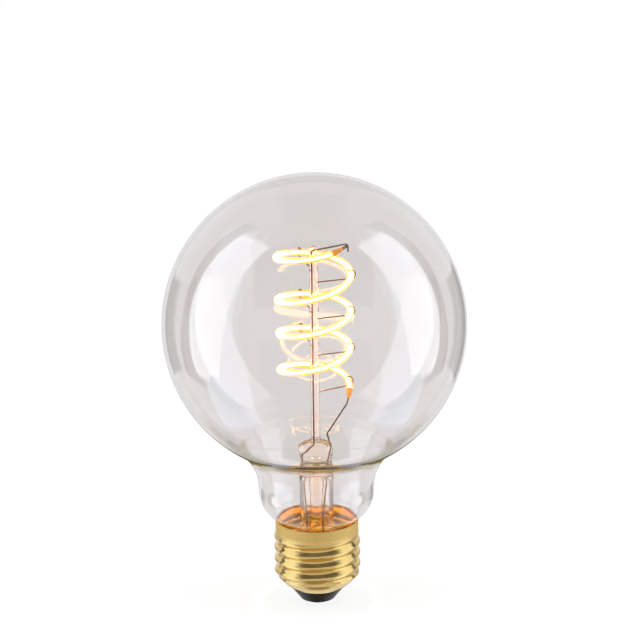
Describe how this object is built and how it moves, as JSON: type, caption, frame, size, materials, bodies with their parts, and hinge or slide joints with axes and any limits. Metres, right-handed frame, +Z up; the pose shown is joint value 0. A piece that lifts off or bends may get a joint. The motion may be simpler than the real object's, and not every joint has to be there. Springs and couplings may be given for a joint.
{
  "type": "globe bulb",
  "caption": "Clear glass globe lamp with a spiral LED filament on a glass mount and a brass E27 screw cap, for general or decorative lighting.",
  "frame": {"origin": "middle of the centre contact's face, the lowest point of the cap", "axes": "+Z up along the lamp's axis, from the cap to the globe; +X to the right in the picture"},
  "size_m": [0.093, 0.093, 0.1365],
  "materials": {
    "clear_glass": "clear blown glass",
    "lead_wire": "dull nickel wire",
    "filament_coat": "silicone coat, lit",
    "terminal_metal": "plain",
    "cap_brass": "bright rolled brass",
    "cement": "matte",
    "black_glass": "glossy",
    "contact_metal": "plated",
    "circuit_board": "satin",
    "black_moulding": "matte",
    "resistor_body": "lacquered",
    "capacitor_sleeve": "shrink sleeve",
    "hookup_wire": "insulated wire"
  },
  "bodies": {
    "root": {"glass_envelope": "clear_glass", "stem_flare": "clear_glass", "exhaust_tube": "clear_glass", "centre_rod": "clear_glass", "long_lead": "lead_wire", "short_lead": "lead_wire", "support_wire_1": "lead_wire", "support_wire_2": "lead_wire", "support_wire_3": "lead_wire", "support_wire_4": "lead_wire", "support_wire_5": "lead_wire", "support_wire_6": "lead_wire", "support_wire_7": "lead_wire", "led_filament": "filament_coat", "upper_terminal": "terminal_metal", "lower_terminal": "terminal_metal", "screw_shell": "cap_brass", "cap_cement": "cement", "insulator": "black_glass", "centre_contact": "contact_metal", "driver_board": "circuit_board", "rectifier": "black_moulding", "driver_chip": "black_moulding", "fuse_resistor": "resistor_body", "smoothing_capacitor": "capacitor_sleeve", "shell_wire": "hookup_wire", "contact_wire": "hookup_wire"}
  },
  "joints": []
}
